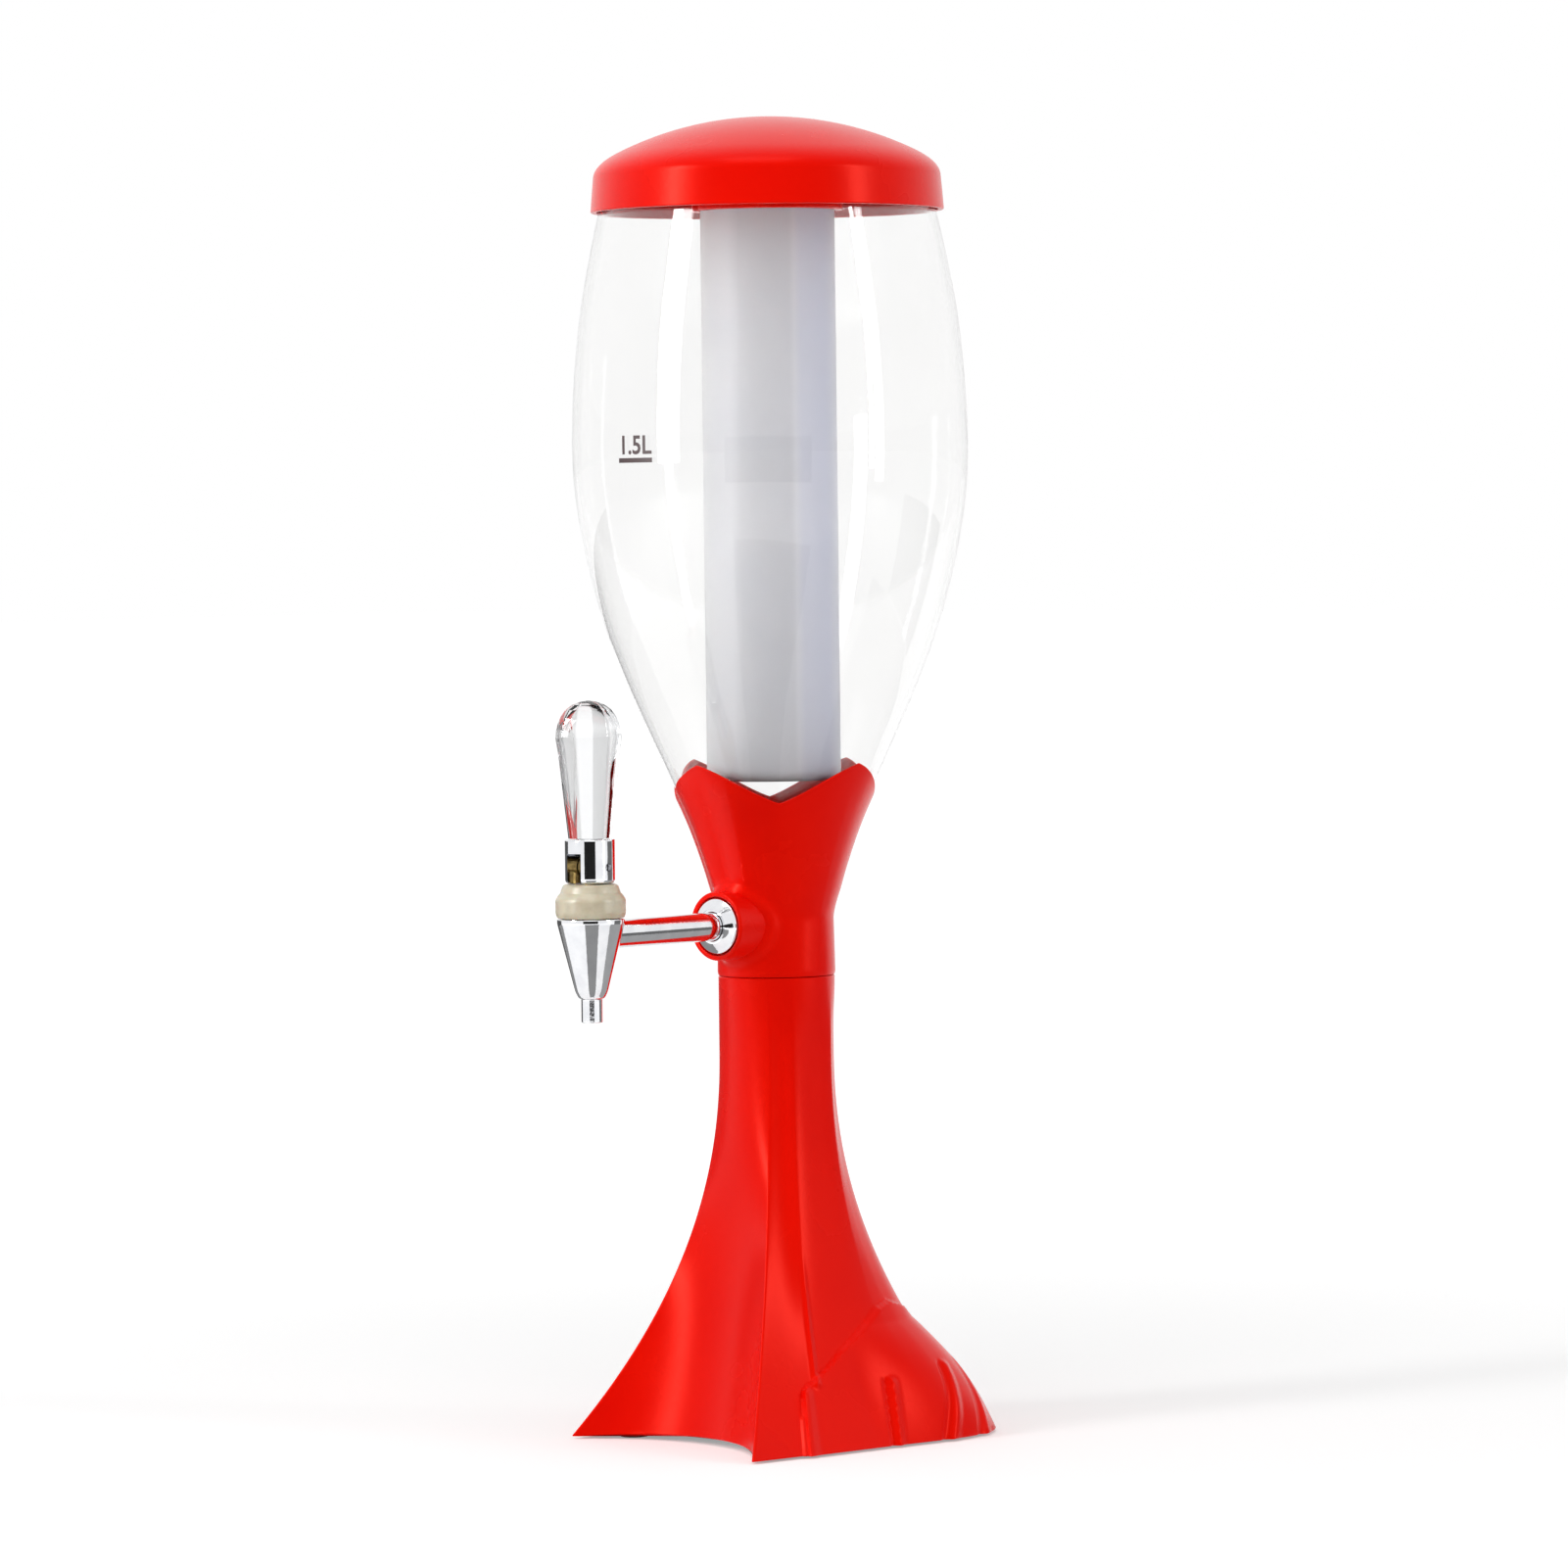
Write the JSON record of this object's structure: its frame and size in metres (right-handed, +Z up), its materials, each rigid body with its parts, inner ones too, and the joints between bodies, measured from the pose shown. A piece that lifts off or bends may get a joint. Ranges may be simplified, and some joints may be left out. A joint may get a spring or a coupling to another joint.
{
  "type": "beer tower dispenser",
  "caption": "Table-top drink tower: clear egg-shaped tank on a flared red pedestal, domed lid with a hanging ice tube, chrome tap with a tilting lever.",
  "frame": {"origin": "on the tower's axis, on the table that the feet stand on", "axes": "+Z up along the tower's axis, the tap points along -Y"},
  "size_m": [0.1532, 0.1958, 0.512],
  "materials": {
    "red_plastic": "moulded gloss red",
    "clear_plastic": "clear, polished",
    "frosted_plastic": "frosted translucent white",
    "chrome": "polished chrome plate",
    "ivory_plastic": "satin ivory",
    "crystal": "clear faceted acrylic",
    "brass": "turned brass",
    "black_rubber": "matt black",
    "black_plastic": "fine texture",
    "silicone": "satin translucent",
    "steel": "bright zinc"
  },
  "bodies": {
    "tower": {"pedestal": "red_plastic", "bottom_cover": "black_plastic", "cover_screw_1": "steel", "cover_screw_2": "steel", "cover_screw_3": "steel", "cover_screw_4": "steel", "foot_pad_1": "black_rubber", "foot_pad_2": "black_rubber", "foot_pad_3": "black_rubber", "foot_pad_4": "black_rubber", "collar": "red_plastic", "tank": "clear_plastic", "tank_port_seal": "silicone", "shank_nut": "steel", "tap_shank": "chrome", "shank_seal": "black_rubber", "shank_flange": "chrome", "tap_body": "chrome", "bonnet_seal": "black_rubber", "bonnet_ring": "ivory_plastic"},
    "lid": {"lid": "red_plastic", "tube_seal": "silicone"},
    "ice_tube": {"ice_tube": "frosted_plastic"},
    "stem": {"valve_stem": "brass", "seat_plug": "black_rubber"},
    "lever": {"lever_pin": "steel", "handle_ferrule": "chrome", "handle_knob": "crystal"}
  },
  "joints": [
    {"name": "lid_lift", "type": "slide", "parent": "tower", "child": "lid", "axis": [0, 0, 1], "range_m": [0, 0.24]},
    {"name": "ice_tube_turn", "type": "hinge", "parent": "lid", "child": "ice_tube", "pos_m": [0, 0, 0.4875], "axis": [0, 0, 1], "range_deg": [0, 60]},
    {"name": "stem_lift", "type": "slide", "parent": "tower", "child": "stem", "axis": [0, 0, 1], "range_m": [0, 0.00572]},
    {"name": "lever_tilt", "type": "hinge", "parent": "stem", "child": "lever", "pos_m": [0, -0.104, 0.2265], "axis": [1, 0, 0], "range_deg": [0, 40]}
  ],
  "couplings": [
    {"joint": "lever_tilt", "follows": "stem_lift", "rad_per_m": 121.95}
  ]
}
